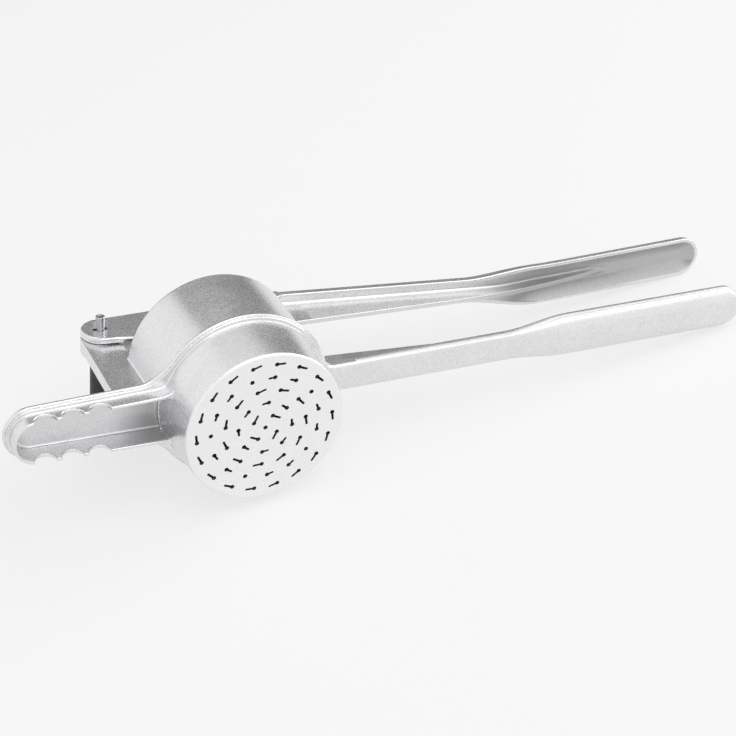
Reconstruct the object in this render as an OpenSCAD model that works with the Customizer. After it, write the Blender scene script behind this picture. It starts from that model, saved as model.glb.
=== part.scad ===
// Spaetzle maker. A cast pot with a sieve at one end carries a slotted rest arm, a hinge
// bracket and the fixed handle. A forked lever turns on a pull-out pin and drives a plunger
// through the pot. The sizes are worked out with the pot's axis along Y and the hinge axis
// along Z; lay_down() then tips the tool so that the pot's ridge and the lever's tip touch
// the table it lies on. Millimetres.

/* [Pot] */
// Outer radius of the pot at the sieve
base_r = 42.5; // [38:0.5:50]
// How much the pot flares from the sieve to the ridge
front_flare = 1.9; // [0:0.1:3]
// How much wider the pot is just behind the ridge than at the sieve
rear_step = 2.7; // [0.5:0.1:4]
// How much the pot flares from the ridge to its mouth
rear_flare = 0.5; // [0:0.1:2]
// Height of the pot from the sieve's face to the mouth
pot_depth = 78.7; // [68:0.1:95]
// Wall of the pot
wall = 3.2; // [2.4:0.1:4]
// Rounding of the pot's outer edge around the sieve
edge_r = 1.5; // [0.5:0.1:2.2]

/* [Parting ridge] */
// Distance from the sieve's face to the back of the ridge
ridge_y = 33.6; // [30:0.1:38]
// Width of the ridge along the pot
ridge_t = 3.4; // [2.4:0.1:5]
// How far the ridge stands proud of the pot
ridge_h = 2.2; // [1:0.1:4]
// Rounding of the ridge's edges
ridge_round = 0.9; // [0.3:0.1:1.1]

/* [Sieve] */
// Thickness of the sieve
sieve_t = 3.5; // [2:0.1:5]
// Distance between two rings of holes
ring_pitch = 7.3; // [6.4:0.1:7.4]
// Diameter of a hole's round head
head_d = 2.3; // [1.8:0.1:3]
// Width of a hole's slot
slot_w = 1.2; // [0.8:0.1:1.6]
// Reach of a long slot from the centre of its head
long_slot = 4.9; // [3.6:0.1:5.4]
// Reach of a short slot from the centre of its head
short_slot = 3.6; // [2.4:0.1:4.2]
// How far the long slots lean outwards
long_lean = 4.5; // [0:0.5:10]
// How far the short slots lean inwards
short_lean = 12; // [0:0.5:16]

/* [Rest arm] */
// Distance from the pot's axis to the arm's tip
rest_len = 123; // [110:1:150]
// Half width of the arm at its tip
rest_tip_r = 12.4; // [10:0.1:14]
// Half width of the arm at the pot
rest_root = 15; // [13:0.1:18]
// Depth of the arm's channel walls
rest_depth = 15.7; // [12:0.1:20]
// Distance from the sieve's face to the arm's back
rest_back = 37.5; // [35.5:0.1:41]
// Thickness of the arm's walls
rest_wall = 1.8; // [1.4:0.1:2.6]
// Thickness of the arm's floor
rest_floor = 2.3; // [1.6:0.1:3.2]
// How far the ridge stands proud of the arm
bead_h = 2.7; // [1.2:0.1:3.5]
// Radius of a rest notch
notch_r = 5.7; // [4:0.1:6.4]
// Distance between two rest notches
notch_pitch = 13.9; // [13.2:0.1:16]
// Distance from the arm's tip to the first notch
notch_first = 16.3; // [14:0.1:20]
// Number of rest notches
notch_count = 3; // [1:1:3]
// Radius of the web between the arm and the pot
web_r = 11; // [8:1:22]

/* [Hinge] */
// Distance from the pot's axis to the hinge pin
hinge_x = 51.8; // [50:0.1:56]
// Height of the hinge pin beyond the pot's mouth
hinge_rise = 26.8; // [22:0.1:34]
// Thickness of the hinge bracket
bracket_t = 7; // [5:0.1:7.4]
// Radius of the bracket's end
bracket_r = 9.6; // [9:0.1:11]
// How far the bracket stands out to the side of its end
bracket_draft = 1.1; // [0:0.1:2]
// Radius of the fork's eyes
eye_r = 10.4; // [8:0.1:10.8]
// How much smaller the pad inside each eye is than the eye
eye_step = 0.4; // [0.2:0.1:1]
// Radius of the hinge pin
pin_r = 2.5; // [2:0.1:3]
// Running clearance of the hinge pin
pin_play = 0.06; // [0.03:0.01:0.1]
// How far the pin's tip stands out of the fork
pin_out = 7.6; // [6.6:0.1:12]
// How far the locking lugs stand out of the pin
lug_out = 1.2; // [0.8:0.1:2]
// Thickness of the locking lugs
lug_t = 1.6; // [1.2:0.1:1.7]
// Length of the locking lugs
lug_len = 4.4; // [3:0.1:5]
// Side clearance of the lugs in the key slots
lug_play = 0.15; // [0.1:0.05:0.2]
// Gap between two faces that slide on each other
face_gap = 0.25; // [0.15:0.05:0.4]

/* [Pin knob] */
// Radius of the knob
knob_r = 5.4; // [4.6:0.1:7]
// Length of the knob
knob_len = 29; // [22:0.5:32]
// Depth of the pin in the knob
knob_socket = 20; // [10:0.5:21]
// Rounding of the knob's end
knob_round = 2.2; // [1:0.1:3]

/* [Handle] */
// Distance from the pot's axis to the handle's tip
handle_len = 306; // [270:0.5:340]
// Distance from the sieve's face to the handle's outer edge at the neck
handle_y = 32.2; // [30.5:0.1:36]
// Thickness of the handle's edge at the neck
handle_edge = 4.2; // [3:0.1:5]
// Crown of the handle's neck
handle_crown = 1.8; // [1:0.1:3]
// Distance from the sieve's face to the handle's outer edge at the grip
handle_grip_y = 34.2; // [32:0.1:37]
// Half width of the handle's neck
handle_neck = 8.1; // [6.5:0.1:9.5]
// Height of the handle's rib at the pot
handle_rib = 17.5; // [10:0.5:22]

/* [Lever] */
// Distance from the pot's axis to the lever's tip
lever_len = 315.5; // [270:0.5:350]
// Width of the fork across the hinge
fork_w = 14.8; // [13:0.1:17]
// Thickness of the fork's cheeks
cheek_t = 3; // [2.4:0.1:3.4]
// Depth of the fork from the hinge axis to its back
fork_back = 10.4; // [10:0.1:12]
// Thickness of the lever's back plate
back_t = 4; // [2.4:0.1:4.4]
// Distance from the hinge pin to the edge of the back plate
back_gap = 24; // [20:1:34]
// Length of the solid end of the fork
block_l = 6; // [4:0.5:10]
// Distance from the pot's axis to the end of the fork
fork_end = 50; // [47:0.5:56]
// Thickness of the lever's edge where it leaves the fork
lever_edge = 2; // [1.6:0.1:2.6]
// Depth of the lever's rib where it leaves the fork
lever_rib = 25.8; // [18:0.1:27]
// Distance from the pot's axis to the bend in the lever
lever_bend = 201; // [190:1:215]
// Distance from the sieve's face to the lever's inner edge at the bend
lever_bend_y = 87.4; // [84:0.1:92]

/* [Grips] */
// Half width of both grips
grip_r = 12.5; // [10:0.1:14]
// Distance from the pot's axis to the start of the grips
grip_start = 190; // [170:1:215]
// Length over which the necks widen into the grips
grip_blend = 36; // [24:1:50]
// Thickness of the grips' edge
grip_edge = 2.9; // [2:0.1:4]
// Crown of the grips
grip_crown = 6.5; // [4:0.1:8]
// Depth of the hollow inside the grips
grip_dish = 4.5; // [2:0.1:6]
// Width of the rim around the hollow
grip_rim = 1.9; // [1.4:0.1:3]
// Half thickness of the ribs
rib_half = 1.4; // [1:0.1:2]

/* [Plunger] */
// Radial gap between the plunger and the pot at the sieve
plunger_gap = 0.5; // [0.3:0.05:1]
// Gap between the plunger and the sieve when the lever is closed
plunger_rest = 0.6; // [0.4:0.1:1]
// Thickness of the plunger's plate at its edge
plate_t = 4.5; // [3:0.1:6]
// Thickness of the plunger's blade
blade_t = 7.6; // [6:0.1:7.8]
// Distance from the hinge pin to the cross pin
cross_reach = 58; // [56:0.5:60]
// Half of the angle that the lever turns through
half_swing = 40; // [36:0.5:41]
// Radius of the cross pin
cross_r = 2.5; // [2:0.1:3]
// Clearance of the cross pin in the plunger's slot
slot_play = 0.15; // [0.1:0.05:0.3]
// Metal around the plunger's slot and the fork's cross holes
eye_wall = 3.8; // [3:0.1:5]
// Height of the plunger's hub above the plate
hub_h = 15; // [8:0.5:20]
// Radius of the plunger's hub
hub_r = 10; // [8:0.1:14]
// Radius of the screw that holds the plate
screw_r = 2.5; // [2:0.1:3]

/* [Hidden] */
$fn = 96;

cast_metal = [0.78, 0.78, 0.79];
steel = [0.62, 0.63, 0.65];
black = [0.06, 0.06, 0.06];

// Pot
sieve_r = base_r - wall;
front_r = base_r + front_flare;
rear_r = base_r + rear_step;
mouth_r = rear_r + rear_flare;
bore_mouth_r = mouth_r - wall;
ridge_r = front_r + ridge_h + (rear_r - front_r);
ridge_front = ridge_y - ridge_t;

// Rings of holes: count, angle of the first head, side that the slots point to, reach, lean
rings = [
    [4, -150, 1, long_slot, long_lean],
    [8, -85.5, -1, short_slot, short_lean],
    [11, -103.7, 1, long_slot, long_lean],
    [15, -82.5, -1, short_slot, short_lean],
    [18, -83, 1, long_slot, long_lean]
];

// Rest arm
rest_front = rest_back - rest_depth;
rest_tip_x = rest_len - rest_tip_r;
// The bead along the arm is this much narrower on each side than the pot's ridge
bead_step = 0.2;

// Hinge
hinge = [-hinge_x, pot_depth + hinge_rise];
bore_r = pin_r + pin_play;
// The eyes' circles are this much smaller than the cheeks' edges that run off them
tangent_step = 0.02;
fork_half = fork_w / 2;
cheek_in = fork_half - cheek_t;
eye_face = bracket_t / 2 + face_gap;
bracket_end = [hinge[0] - 1.7, hinge[1] - 2.5];
bracket_inner = hinge[0] + 11.6;
pin_top = fork_half + pin_out;
pin_chamfer = 0.6;
dimple_r = 1.1;
lug_z = fork_half + 0.6;
knob_top = -fork_half - face_gap;

// Arms: places along X where the shapes change
grip_end_handle = handle_len - grip_r;
grip_end_lever = lever_len - grip_r;
neck_end = grip_start - grip_blend;
loft_step = 9;
tip_angles = [18, 34, 48, 60, 70, 79, 86];

// Lever and its cross pin, with the lever closed
swing_rad = half_swing * PI / 180;
cross = hinge + cross_reach * [cos(half_swing), -sin(half_swing)];
cross_far = hinge[0] + cross_reach;
// The plunger rises in proportion to the lever's angle, and the cross pin moves on a circle.
// The slot's height takes up what is left between the two.
lift_error = cross_reach * pow(swing_rad, 3) / 12;
slot_half_h = cross_r + slot_play + lift_error / 2;
slot_half_l = (cross_far - cross[0]) / 2 + slot_half_h;
slot_at = [(cross[0] + cross_far) / 2, cross[1] - lift_error / 2];
lobe_r = cross_r + eye_wall;
fork_top = hinge[1] + fork_back;
rib_front = fork_top - lever_rib;
lever_in = fork_top - back_t - 1.7;
grip_lean = 0.04;
rib_curve_x = neck_end + 11;
washer_t = 1;
cross_head_t = 1.2;

// Plunger
plunger_r = sieve_r - plunger_gap;
plate_y = sieve_t + plunger_rest;
plate_top = plate_y + plate_t;
head_top = slot_at[1] + slot_half_h + eye_wall;
head_half = slot_half_l + eye_wall;

// The tool lies on its ridge and on the lever's tip
lie_angle = asin((ridge_r - grip_r) / grip_end_lever);
left_end = rest_tip_x * cos(lie_angle) + rest_tip_r + bead_h;
right_end = grip_end_lever * cos(lie_angle) + grip_r;

// ---- helpers ----

module lay_down() {
    translate([(left_end - right_end) / 2, -fork_top / 2, ridge_r])
        rotate([0, lie_angle, 0])
            children();
}

// Turns a shape's own Z axis to the pot's axis
module along_pot(y = 0) {
    translate([0, y, 0])
        rotate([-90, 0, 0])
            children();
}

// Extrudes a plan in X and Y by the same amount above and below the hinge's middle plane
module plate(thickness) {
    translate([0, 0, -thickness / 2])
        linear_extrude(thickness)
            children();
}

function arc(c, r, from, to, steps) =
    [for (i = [0:steps]) c + r * [cos(from + (to - from) * i / steps), sin(from + (to - from) * i / steps)]];

// Point where the line from p touches a circle, on the side given by turn
function touch(p, c, r, turn) =
    let (d = c - p, away = atan2(-d[1], -d[0]), open = acos(r / norm(d)))
    c + r * [cos(away + turn * open), sin(away + turn * open)];

function blend(x, from, to) =
    let (t = min(1, max(0, (x - from) / (to - from)))) t * t * (3 - 2 * t);

function mix(a, b, t) = a + (b - a) * t;

// Smooth upper bound of two lines
function soft_max(a, b, k) = (a + b) / 2 + sqrt(pow((a - b) / 2, 2) + k * k);

// ---- pot ----

function outer_profile() = concat(
    arc([base_r - edge_r, edge_r], edge_r, -90, 0, 6),
    [[front_r, ridge_front]],
    arc([ridge_r - ridge_round, ridge_front + ridge_round], ridge_round, -90, 0, 4),
    arc([ridge_r - ridge_round, ridge_y - ridge_round], ridge_round, 0, 90, 4),
    [[rear_r, ridge_y]],
    arc([mouth_r - edge_r / 2, pot_depth - edge_r / 2], edge_r / 2, 0, 90, 4)
);

// The pot as a solid plug, for what is fitted to its outside
module pot_plug() {
    along_pot()
        rotate_extrude()
            polygon(concat([[0, 0]], outer_profile(), [[0, pot_depth]]));
}

module pot_wall() {
    lay_down()
        color(cast_metal)
            along_pot()
                rotate_extrude()
                    polygon(concat(
                        [[sieve_r, 0]],
                        outer_profile(),
                        [[bore_mouth_r, pot_depth], [sieve_r, sieve_t]]
                    ));
}

module keyhole(reach, turn) {
    circle(head_d / 2, $fn = 24);
    translate([-slot_w / 2, turn > 0 ? 0 : -(reach - slot_w / 2)])
        square([slot_w, reach - slot_w / 2]);
    translate([0, turn * (reach - slot_w / 2)])
        circle(slot_w / 2, $fn = 16);
}

module sieve_holes() {
    circle(head_d / 2, $fn = 24);
    for (ring = [0:len(rings) - 1]) {
        count = rings[ring][0];
        for (i = [0:count - 1])
            rotate(rings[ring][1] + i * 360 / count)
                translate([(ring + 1) * ring_pitch, 0])
                    if (ring == 3 && i % 3 == 2)
                        circle(head_d / 2, $fn = 24);
                    else
                        rotate(-rings[ring][4])
                            keyhole(rings[ring][3], rings[ring][2]);
    }
}

module sieve() {
    lay_down()
        color(cast_metal)
            along_pot()
                linear_extrude(sieve_t)
                    difference() {
                        circle(sieve_r);
                        sieve_holes();
                    }
}

// ---- rest arm ----

module rest_plan(grow) {
    polygon(concat(
        arc([-rest_tip_x, 0], rest_tip_r + grow, 91, 269, 24),
        [[0, -rest_root - grow], [0, rest_root + grow]]
    ));
}

// Web in the corner between the arm's edge and the pot's ridge
module rest_webs() {
    edge = rest_root + bead_h - 1.2;
    web = [-sqrt(pow(ridge_r + web_r, 2) - pow(edge + web_r, 2)), edge + web_r];
    for (side = [-1, 1])
        difference() {
            polygon([[web[0], side * (edge - 1)], [web[0], side * web[1]], [0, 0]]);
            translate([web[0], side * web[1]])
                circle(web_r);
        }
}

module rest_arm() {
    lay_down()
        color(cast_metal)
            difference() {
                union() {
                    along_pot(rest_front)
                        linear_extrude(rest_depth)
                            rest_plan(0);
                    along_pot(ridge_front + bead_step)
                        linear_extrude(ridge_t - 2 * bead_step)
                            union() {
                                rest_plan(bead_h);
                                rest_webs();
                            }
                }
                along_pot(rest_front - 1)
                    linear_extrude(rest_depth - rest_floor + 1)
                        rest_plan(-rest_wall);
                for (i = [0:notch_count - 1])
                    translate([-rest_len + notch_first + i * notch_pitch, rest_front, 0])
                        cylinder(h = 4 * rest_root, r = notch_r, center = true);
                pot_plug();
            }
}

// ---- hinge ----

// Key slot that lets the pin's lugs through
module key_slot(height) {
    cube([2 * (pin_r + lug_out + lug_play), lug_t + 2 * lug_play, height], center = true);
}

module hinge_bracket() {
    lay_down()
        color(cast_metal)
            difference() {
                plate(bracket_t)
                    union() {
                        translate(bracket_end)
                            circle(bracket_r);
                        polygon([
                            [bracket_end[0] - bracket_r, bracket_end[1]],
                            [bracket_end[0] - bracket_r - bracket_draft, rest_back],
                            [0, rest_back],
                            [0, pot_depth - edge_r],
                            [bracket_inner, pot_depth - edge_r],
                            [bracket_inner, bracket_end[1]]
                        ]);
                    }
                pot_plug();
                translate([hinge[0], hinge[1], 0]) {
                    cylinder(h = 2 * bracket_t, r = bore_r, center = true);
                    key_slot(2 * bracket_t);
                }
            }
}

module hinge_pin() {
    lay_down()
        color(steel)
            translate([hinge[0], hinge[1], 0])
                difference() {
                    union() {
                        translate([0, 0, knob_top - knob_socket])
                            cylinder(h = pin_top - pin_chamfer - knob_top + knob_socket, r = pin_r);
                        translate([0, 0, pin_top - pin_chamfer])
                            cylinder(h = pin_chamfer, r1 = pin_r, r2 = pin_r - pin_chamfer);
                        translate([0, 0, lug_z + lug_len / 2])
                            cube([2 * (pin_r + lug_out), lug_t, lug_len], center = true);
                    }
                    translate([0, 0, pin_top - dimple_r])
                        cylinder(h = dimple_r + 0.01, r1 = 0, r2 = dimple_r + 0.01);
                }
}

module pin_knob() {
    lay_down()
        color(black)
            translate([hinge[0], hinge[1], knob_top - knob_len])
                rotate_extrude()
                    polygon(concat(
                        [[0, 0]],
                        arc([knob_r - knob_round, knob_round], knob_round, -90, 0, 6),
                        arc([knob_r - 1, knob_len - 1], 1, 0, 90, 4),
                        [[pin_r, knob_len], [pin_r, knob_len - knob_socket], [0, knob_len - knob_socket]]
                    ));
}

// ---- handle and lever arm ----

// Half of an arm's section as seen from its tip, from the middle of the crown round to the
// top of the rib. u runs across the arm, v from the outer edge towards the rib. A small
// fullness squares the crown off, and 1 makes it an ellipse.
function half_section(w, edge, crown, fullness, dish, rib) =
    let (
        rim = min(grip_rim, w * 0.3),
        inside = max(w - rim, 0.15),
        root = min(rib_half + 0.5, inside * 0.6),
        top = min(rib_half, inside * 0.45),
        soft = min(0.7, w * 0.3),
        floor_at = edge - dish,
        hollow = function(u) edge - dish * (1 - pow(u / inside, 2)),
        rib_at = max(rib, floor_at + 0.1)
    )
    [
        for (a = [90:-15:15]) [w * pow(cos(a), fullness), -crown * pow(sin(a), fullness)],
        [w, 0],
        [w, edge - soft],
        [w - soft, edge],
        [inside, edge],
        [mix(root, inside, 0.6), hollow(mix(root, inside, 0.6))],
        [root, hollow(root)],
        [top, rib_at]
    ];

function whole_section(half) = concat(
    half,
    [for (i = [len(half) - 1:-1:1]) [-half[i][0], half[i][1]]]
);

// Skins a list of rings of points
module skin(rings) {
    n = len(rings[0]);
    last = len(rings) - 1;
    polyhedron(
        points = [for (ring = rings) for (p = ring) p],
        faces = concat(
            [[for (i = [0:n - 1]) i]],
            [for (k = [0:last - 1]) for (i = [0:n - 1]) let (j = (i + 1) % n)
                [k * n + j, k * n + i, (k + 1) * n + i]],
            [for (k = [0:last - 1]) for (i = [0:n - 1]) let (j = (i + 1) % n)
                [k * n + j, (k + 1) * n + i, (k + 1) * n + j]],
            [[for (i = [n - 1:-1:0]) last * n + i]]
        )
    );
}

// Stations along an arm: distance, and how much of the full width is left at the round tip
function stations(start, end, r) = concat(
    [for (i = [0:floor((end - start) / loft_step)]) [start + i * (end - start) / floor((end - start) / loft_step), 1]],
    [for (a = tip_angles) [end + r * sin(a), cos(a)]]
);

function handle_ring(x, k) =
    let (
        t = blend(x, neck_end, grip_start + 3),
        d = blend(x, neck_end + 20, grip_start + 20),
        edge_y = mix(handle_y, handle_grip_y, t),
        edge = mix(handle_edge, grip_edge, t),
        w = mix(handle_neck, grip_r, t) * k,
        rib_y = handle_y + handle_edge + handle_rib - (x - base_r) * handle_rib / (grip_start - base_r + 20),
        crown = mix(handle_crown, grip_crown, t) * sqrt(k),
        half = half_section(w, edge, crown, mix(0.7, 1, t), mix(0.2, grip_dish, d) * k, rib_y - edge_y)
    )
    [for (p = whole_section(half)) [x, edge_y + p[1], p[0]]];

module handle() {
    lay_down()
        color(cast_metal)
            difference() {
                skin([for (s = stations(base_r - wall, grip_end_handle, grip_r)) handle_ring(s[0], s[1])]);
                pot_plug();
            }
}

// Distance from the pot's sieve face to the inside of the lever's back plate
function lever_inside(x) = soft_max(
    mix(lever_in, lever_bend_y, (x - fork_end) / (lever_bend - fork_end)),
    lever_bend_y + grip_lean * (x - lever_bend),
    0.9
);

// Distance from the sieve's face to the front of the lever's rib, which runs nearly straight
// and then curves into the grip
function lever_rib_y(x) =
    rib_front - 0.052 * (min(x, rib_curve_x) - fork_end) + 0.0013 * pow(max(0, x - rib_curve_x), 2);

function lever_ring(x, k) =
    let (
        t = blend(x, neck_end + 6, grip_start + 12),
        d = blend(x, neck_end + 20, grip_start + 20),
        edge = mix(lever_edge, grip_edge, t),
        edge_y = lever_inside(x) + edge,
        w = mix(fork_half, grip_r, t) * k,
        crown = mix(fork_top - lever_in - lever_edge, grip_crown, t) * sqrt(k),
        half = half_section(w, edge, crown, mix(0.35, 1, t), mix(0.2, grip_dish, d) * k, edge_y - lever_rib_y(x))
    )
    [for (p = whole_section(half)) [x, edge_y - p[1], -p[0]]];

module lever_arm() {
    lay_down()
        color(cast_metal)
            skin([for (s = stations(fork_end, grip_end_lever, grip_r)) lever_ring(s[0], s[1])]);
}

// ---- lever fork ----

module cheek_plan() {
    left_knee = [hinge[0] + 0.45 * cross_reach, hinge[1] - eye_r - 0.12 * cross_reach];
    right_knee = [mix(cross[0], fork_end, 0.4), rib_front - 2];
    translate(hinge)
        circle(eye_r - tangent_step);
    translate(cross)
        circle(lobe_r);
    polygon([
            [hinge[0], fork_top],
            [hinge[0] - eye_r / 2, hinge[1]],
            touch(left_knee, hinge, eye_r, -1),
            left_knee,
            touch(left_knee, cross, lobe_r, 1),
            cross,
            touch(right_knee, cross, lobe_r, -1),
            right_knee,
            [fork_end, rib_front],
            [fork_end, fork_top]
    ]);
}

module fork_eye() {
    translate([0, 0, eye_face])
        cylinder(h = fork_half - eye_face, r = eye_r - eye_step);
}

module lever_fork() {
    lay_down()
        color(cast_metal)
            difference() {
                union() {
                    for (side = [-1, 1])
                        translate([0, 0, side * (fork_half + cheek_in) / 2])
                            plate(cheek_t)
                                cheek_plan();
                    for (side = [0, 180])
                        translate([hinge[0], hinge[1], 0])
                            rotate([side, 0, 0])
                                fork_eye();
                    plate(fork_w)
                        polygon([
                            [hinge[0] + back_gap, fork_top],
                            [hinge[0] + back_gap, fork_top - back_t],
                            [fork_end - block_l, fork_top - back_t],
                            [fork_end - block_l, rib_front],
                            [fork_end, rib_front],
                            [fork_end, fork_top]
                        ]);
                }
                translate([hinge[0], hinge[1], 0]) {
                    cylinder(h = 2 * fork_w, r = bore_r, center = true);
                    key_slot(2 * fork_w);
                }
                translate([cross[0], cross[1], 0])
                    cylinder(h = 2 * fork_w, r = cross_r, center = true);
            }
}

module cross_pin() {
    lay_down()
        color(steel)
            translate([cross[0], cross[1], -fork_half - cross_head_t - washer_t]) {
                cylinder(h = fork_w + washer_t + cross_head_t, r = cross_r);
                cylinder(h = cross_head_t, r = cross_r + 1);
                translate([0, 0, fork_w + washer_t + cross_head_t])
                    cylinder(h = cross_head_t, r = cross_r + 1.2);
            }
}

module cross_pin_washer() {
    lay_down()
        color(steel)
            translate([cross[0], cross[1], -fork_half - washer_t])
                difference() {
                    cylinder(h = washer_t, r = cross_r + 2.4);
                    translate([0, 0, -1])
                        cylinder(h = washer_t + 2, r = cross_r);
                }
}

// ---- plunger ----

module plunger_plate() {
    lay_down()
        color(cast_metal)
            along_pot()
                difference() {
                    rotate_extrude()
                        polygon(concat(
                            [[0, plate_y]],
                            arc([plunger_r - 1, plate_y + 1], 1, -90, 0, 4),
                            arc([plunger_r - 1, plate_top - 1], 1, 0, 90, 4),
                            [[plunger_r - 5, plate_top], [plunger_r - 6, plate_top - 1.5],
                            [hub_r + 4, plate_top - 1.5], [hub_r + 2, plate_top], [0, plate_top]]
                        ));
                    translate([0, 0, plate_y - 1])
                        cylinder(h = plate_t + 2, r = screw_r);
                    translate([0, 0, plate_y - 1])
                        cylinder(h = 1 + 1.8, r = 2 * screw_r);
                }
}

module plunger_stem() {
    lay_down()
        color(cast_metal)
            difference() {
                union() {
                    along_pot(plate_top)
                        cylinder(h = hub_h, r1 = hub_r, r2 = hub_r - 2);
                    plate(blade_t)
                        union() {
                            polygon([
                                [-hub_r, plate_top],
                                [-hub_r, plate_top + hub_h],
                                [slot_at[0] - head_half, slot_at[1]],
                                [slot_at[0] - head_half, head_top - eye_wall],
                                [slot_at[0] - head_half + eye_wall, head_top],
                                [slot_at[0] + head_half - eye_wall, head_top],
                                [slot_at[0] + head_half, head_top - eye_wall],
                                [slot_at[0] + head_half, slot_at[1]],
                                [hub_r, plate_top + hub_h],
                                [hub_r, plate_top]
                            ]);
                        }
                }
                translate([0, 0, -blade_t])
                    linear_extrude(2 * blade_t)
                        translate(slot_at) {
                            square([2 * (slot_half_l - slot_half_h), 2 * slot_half_h], center = true);
                            for (side = [-1, 1])
                                translate([side * (slot_half_l - slot_half_h), 0])
                                    circle(slot_half_h, $fn = 48);
                        }
                along_pot(plate_top - 1)
                    cylinder(h = hub_h, r = screw_r);
            }
}

module plunger_screw() {
    lay_down()
        color(steel)
            along_pot(plate_y) {
                cylinder(h = 1.8, r1 = 2 * screw_r - 0.4, r2 = 2 * screw_r);
                cylinder(h = plate_t + hub_h - 1, r = screw_r);
            }
}

pot_wall();
sieve();
rest_arm();
hinge_bracket();
handle();
lever_fork();
lever_arm();
cross_pin();
cross_pin_washer();
plunger_plate();
plunger_stem();
plunger_screw();
hinge_pin();
pin_knob();
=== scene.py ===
"""Spaetzle maker: rounded castings, perforated sieve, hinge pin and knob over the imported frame.

The shapes are worked out in the tool's own axes, in millimetres: X along the handles, Y along
the pot from the sieve to the mouth, Z along the hinge pin. Each casting is a distance field,
so that its parts run into each other with the fillets of a real casting, and its surface is
skinned from that field. The long arms are lofted from the same sections.
"""
import math

import bmesh
import bpy
import numpy as np
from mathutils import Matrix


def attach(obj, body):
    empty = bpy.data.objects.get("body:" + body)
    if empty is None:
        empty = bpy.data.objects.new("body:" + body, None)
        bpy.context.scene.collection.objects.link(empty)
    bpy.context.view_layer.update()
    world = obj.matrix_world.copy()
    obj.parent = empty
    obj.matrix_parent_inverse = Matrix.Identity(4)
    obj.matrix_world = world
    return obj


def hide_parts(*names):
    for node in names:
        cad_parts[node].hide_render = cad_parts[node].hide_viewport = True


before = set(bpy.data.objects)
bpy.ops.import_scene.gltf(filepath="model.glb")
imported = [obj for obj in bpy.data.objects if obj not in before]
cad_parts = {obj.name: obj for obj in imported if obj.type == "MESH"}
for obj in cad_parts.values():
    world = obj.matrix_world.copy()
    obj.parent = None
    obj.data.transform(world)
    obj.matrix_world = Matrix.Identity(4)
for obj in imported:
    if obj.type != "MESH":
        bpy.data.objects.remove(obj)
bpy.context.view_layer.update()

import openvdb
from bpy.props import FloatProperty, FloatVectorProperty, IntProperty, PointerProperty
from mathutils import Matrix, Vector

bl_info = {
    "name": "Spaetzle Maker",
    "version": (1, 0, 0),
    "blender": (4, 5, 0),
    "location": "View3D > Sidebar > Spaetzle Maker",
    "description": "Builds the castings, sieve, pin and knob of a lever press for spaetzle",
    "category": "Object",
}


# ---- sizes and colours ----

def length(name, default, note):
    return FloatProperty(name=name, description=note, default=default, min=0,
                         unit="LENGTH", precision=4)


def colour(name, default, note):
    return FloatVectorProperty(name=name, description=note, default=default, size=3,
                               subtype="COLOR", min=0, max=1)


class PotSizes(bpy.types.PropertyGroup):
    base: length("Base radius", 0.0425, "Outer radius of the pot at the sieve")
    flare: length("Flare", 0.0019, "How much the pot flares from the sieve to the ridge")
    rear: length("Rear radius", 0.0452, "Outer radius of the pot behind the ridge")
    mouth: length("Mouth radius", 0.0457, "Outer radius of the pot's mouth")
    depth: length("Depth", 0.0787, "Height of the pot from the sieve's face to the mouth")
    wall: length("Wall", 0.0032, "Wall of the pot")
    edge: length("Front rounding", 0.0015, "Rounding of the pot's edge around the sieve")
    ridge: length("Ridge radius", 0.0474, "Radius of the parting ridge")
    ridge_back: length("Ridge back", 0.0336, "Distance from the sieve's face to the ridge's back")
    ridge_width: length("Ridge width", 0.0034, "Width of the ridge along the pot")
    ridge_round: length("Ridge rounding", 0.0008, "Rounding of the ridge's edges")
    ridge_lip: length("Ridge lip", 0.0011, "Step of the ridge at its parting line")
    fillet: length("Fillet", 0.0014, "Fillet where the hinge bracket leaves the pot")
    root: length("Root radius", 0.009, "Radius between the rest arm's walls and the pot")
    web: length("Web radius", 0.011, "Radius of the web between the rest arm and the ridge")


class SieveSizes(bpy.types.PropertyGroup):
    thick: length("Thickness", 0.0035, "Thickness of the sieve")
    pitch: length("Ring pitch", 0.0073, "Distance between two rings of holes")
    head: length("Head", 0.0023, "Diameter of a hole's round head")
    slot: length("Slot width", 0.0012, "Width of a hole's slot")
    long_reach: length("Long reach", 0.0049, "Reach of a long slot")
    short_reach: length("Short reach", 0.0036, "Reach of a short slot")
    rim: length("Hole rounding", 0.0002, "Rounding of the holes' edges")


class ArmSizes(bpy.types.PropertyGroup):
    handle_end: length("Handle length", 0.306, "Distance from the pot's axis to the handle's tip")
    lever_end: length("Lever length", 0.3155, "Distance from the pot's axis to the lever's tip")
    grip: length("Grip", 0.0125, "Half width of both grips")
    lip: length("Lip", 0.0019, "Width of the rim around a grip's hollow")
    dish: length("Hollow", 0.0045, "Depth of the hollow in a grip")
    rib: length("Rib", 0.0014, "Half thickness of the ribs")
    rest_end: length("Rest arm length", 0.123, "Distance from the pot's axis to the rest arm's tip")
    rest_half: length("Rest arm tip", 0.0124, "Half width of the rest arm at its tip")
    notch: length("Notch", 0.0057, "Radius of a rest notch")
    notches: IntProperty(name="Notches", description="Number of rest notches", default=3,
                         min=1, max=4)


class FinishColours(bpy.types.PropertyGroup):
    cast: colour("Cast metal", (0.82, 0.82, 0.83), "Colour of the tumbled castings")
    steel: colour("Steel", (0.5, 0.51, 0.53), "Colour of the pins")
    plastic: colour("Plastic", (0.022, 0.022, 0.024), "Colour of the knob")
    floor: colour("Floor", (0.86, 0.86, 0.86), "Colour of the floor")


def sizes(group):
    """The sizes of a group in millimetres, by name"""
    held = getattr(bpy.context.scene, group)
    return type("Sizes", (), {
        name: getattr(held, name) if name == "notches" else getattr(held, name) * 1000
        for name in type(held).__annotations__})


# ---- places ----

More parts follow.
